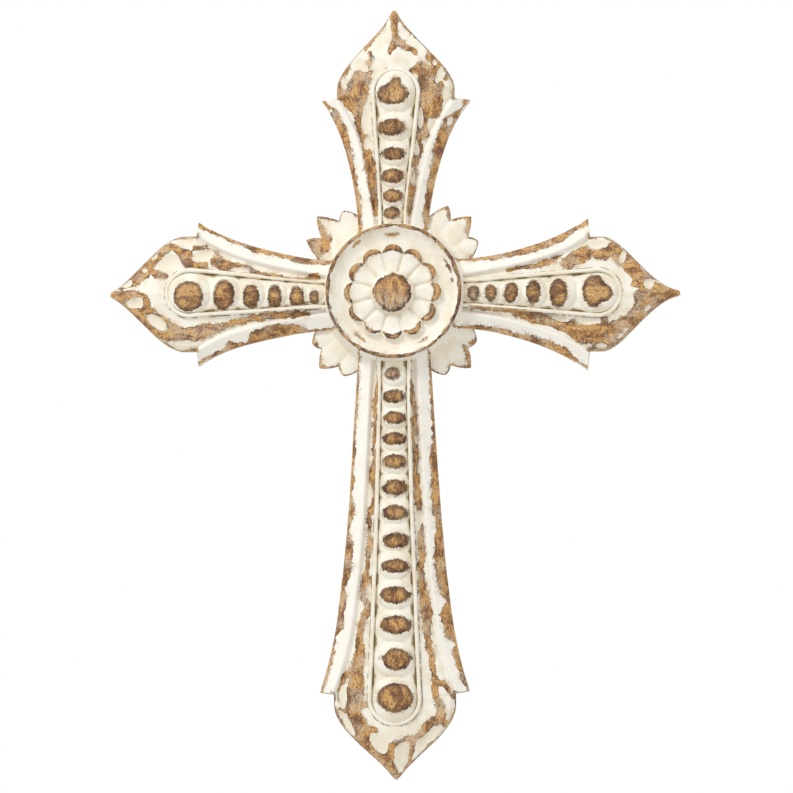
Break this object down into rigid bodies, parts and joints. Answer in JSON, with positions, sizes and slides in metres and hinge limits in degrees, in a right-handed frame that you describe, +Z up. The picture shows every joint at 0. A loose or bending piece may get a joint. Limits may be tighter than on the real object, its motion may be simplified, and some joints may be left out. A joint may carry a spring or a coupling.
{
  "type": "wall cross",
  "caption": "Carved wooden wall cross with flared arms, spear-point ends, beaded troughs, leaf clusters and a round flower medallion; flat back.",
  "frame": {"origin": "on the flat back, straight behind the middle of the medallion, where the arms cross", "axes": "+Z up along the long arm's line, +X to the right as seen from the front, the carved front faces -Y and the flat back faces +Y"},
  "size_m": [0.451, 0.0312, 0.61],
  "materials": {
    "painted_wood": "cream whitewash sanded back to golden brown wood on the high places and edges"
  },
  "bodies": {
    "root": {"wall_cross": "painted_wood"}
  },
  "joints": []
}
